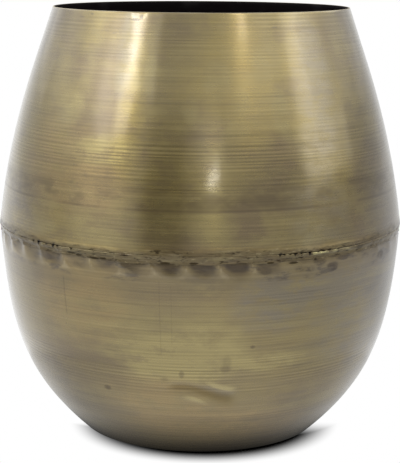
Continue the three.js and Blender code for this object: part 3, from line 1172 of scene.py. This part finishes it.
def light_world():
    """White to the eye and overhead, with a dimmer ring low round the front and a dark part at its left."""
    world = bpy.data.worlds.new("studio_tent")
    bpy.context.scene.world = world
    network = Network(world)
    rays = network.node("ShaderNodeLightPath").outputs
    x, y, up = network.split(network.node("ShaderNodeTexCoord").outputs["Generated"])
    turn = network.turn_to(x, y)
    in_metal = Value(network, rays["Is Glossy Ray"])
    through_glass = Value(network, rays["Is Transmission Ray"])
    seen = in_metal.greater(Value(network, rays["Is Camera Ray"])).greater(through_glass)
    rise = network.maths("ARCSINE", up) * math.degrees(1)
    ring = rise.smooth(30, 12) * abs(turn).smooth(170, 125)
    quarter = turn.between(-29, -13, 8) * rise.smooth(38, 17)
    right = turn.smooth(45, 95) * turn.smooth(179, 168)
    left = turn.smooth(-110, -135) * turn.smooth(-179, -172)
    dimming = ring * RING_DIMMING + quarter * QUARTER_DIMMING + right * RIGHT_DIMMING + left * LEFT_DIMMING
    panels = 0.0
    for turn_to, half_turn, rise_to, half_rise, extra in PANELS:
        across = (turn - turn_to) / half_turn
        above = (rise - rise_to) / half_rise
        panels = panels + (across * across + above * above).smooth(1, 0) * extra
    level = DAYLIGHT + seen * (1 - DAYLIGHT) + in_metal * (panels - dimming)
    background = network.node("ShaderNodeBackground", None, {"Color": tint(1, 1, 1), "Strength": level})
    network.node("ShaderNodeOutputWorld", None, {"Surface": background.outputs[0]})


def lay_floor():
    """White paper with the vase's shadow close to it, whose reach is painted by distance and direction,
    running out to plain white.
    """
    made = bmesh.new()
    bmesh.ops.create_grid(made, x_segments=1, y_segments=1, size=FLOOR_HALF_SIZE)
    material = bpy.data.materials.new("white_paper")
    floor = as_object(made, "paper_floor", (material,))
    network = Network(material)
    rays = network.node("ShaderNodeLightPath").outputs
    to_eye = Value(network, rays["Is Camera Ray"])
    in_metal = Value(network, rays["Is Glossy Ray"])
    x, y, _ = network.split(network.node("ShaderNodeTexCoord").outputs["Object"])
    turn = network.turn_to(x, y)

    def away(shift_x, shift_y):
        return network.maths("SQRT", (x - shift_x) * (x - shift_x) + (y - shift_y) * (y - shift_y))

    near = network.value("ShaderNodeAmbientOcclusion", {"samples": 8}, {"Distance": SHADOW_REACH}, "AO")
    shade = near.smooth(0.1, 0.95) * 0.9
    paper = network.node("ShaderNodeBsdfDiffuse", None, {"Color": shade})
    # Painted dimming of the floor to the right and left, seen only in the metal
    right = x.smooth(0.05, 0.3) * (turn.between(116, 146, 22) * RIGHT_FLOOR_DIMMING + RIGHT_DIMMING)
    dimmed = in_metal * (right + x.smooth(-0.1, -0.4) * LEFT_DIMMING)
    plain = network.node("ShaderNodeEmission", None, {"Strength": 1 - dimmed})
    # Painted shadow edges: the eye sees the paper's occluded shade only near the foot and not beside it
    beside = turn.between(-112, -80, 16).greater(turn.between(84, 112, 26))
    clear_to_eye = away(4 * MM, -8 * MM).smooth(74 * MM, 99 * MM).greater(beside)
    # Painted shadow on the floor at the sides, seen only in the metal
    shaded_side = abs(turn).smooth(15, 70) * away(0, 0).between(125 * MM, 190 * MM, 30 * MM)
    clear_in_metal = away(0, -2 * MM).smooth(75 * MM, 130 * MM) * (1 - shaded_side * 0.5)
    clear = to_eye * clear_to_eye + in_metal * clear_in_metal
    mixed = network.node("ShaderNodeMixShader", None, {0: clear, 1: paper.outputs[0], 2: plain.outputs[0]})
    network.node("ShaderNodeOutputMaterial", None, {"Surface": mixed.outputs[0]})


def softbox(name, turn, rise, width, height, level, colour, lean=0, away=LAMP_AWAY):
    """A lit rectangle that faces the vase. Turn, rise and lean are in degrees, level is brightness."""
    lamp = bpy.data.lights.new(name, "AREA")
    lamp.shape = "RECTANGLE"
    lamp.size = width
    lamp.size_y = height
    lamp.energy = level * math.pi * width * height
    lamp.color = colour
    turn, rise = math.radians(turn), math.radians(rise)
    direction = Vector((math.sin(turn) * math.cos(rise), -math.cos(turn) * math.cos(rise), math.sin(rise)))
    box = in_scene(name, lamp)
    box.location = VASE_CENTRE + direction * away
    facing = direction.to_track_quat("Z", "Y").to_matrix() @ Matrix.Rotation(math.radians(lean), 3, "Z")
    box.rotation_euler = facing.to_euler()
    box.visible_camera = False


light_world()
lay_floor()
softbox("key_core", -48.3, 36.6, 0.09, 0.25, 4.9, COOL_WHITE, 4)
softbox("key_middle", -48, 36, 0.2, 0.3, 2.3, COOL_WHITE, 4)
softbox("key_wide", -41.5, 36, 0.42, 0.34, 0.75, COOL_WHITE, 4)
softbox("key_tail", -49.5, 26, 0.18, 0.2, 2.7, (1.0, 0.99, 0.95), 8)
softbox("warm_strip", 31.5, 44, 0.12, 0.36, 3.5, (1.0, 0.9, 0.7))
softbox("warm_glow", 32, 33, 0.66, 0.35, 0.28, (1.0, 0.9, 0.65))
softbox("silver_panel", 69, 31, 0.26, 0.4, 0.88, (1.0, 0.98, 0.97))
softbox("right_panel", 80, 14, 0.9, 0.17, 0.52, SOFT_WHITE)
softbox("right_glow", 130, 15, 0.4, 0.18, 0.2, SOFT_WHITE)
softbox("left_glow", -129, 15, 0.5, 0.18, 0.27, (1.0, 0.97, 0.93))
softbox("lens_light", 7, 16.5, 0.03, 0.15, 19.0, (1.0, 0.98, 0.88), -60, 1.6)


# Camera
CAMERA_BACK = 1.0666
CAMERA_HEIGHT = 0.3421
CAMERA_PITCH = math.radians(10.78)
CAMERA_ROLL = math.radians(0.36)
FOCAL_LENGTH = 116.9
SENSOR_WIDTH = 36
lens = bpy.data.cameras.new("camera")
lens.lens = FOCAL_LENGTH
lens.sensor_width = SENSOR_WIDTH
camera = in_scene("camera", lens)
camera.matrix_world = (
    Matrix.Translation((0, -CAMERA_BACK, CAMERA_HEIGHT))
    @ Matrix.Rotation(math.pi / 2 - CAMERA_PITCH, 4, "X")
    @ Matrix.Rotation(CAMERA_ROLL, 4, "Z")
)
bpy.context.scene.camera = camera
bpy.context.scene.view_settings.view_transform = "Standard"
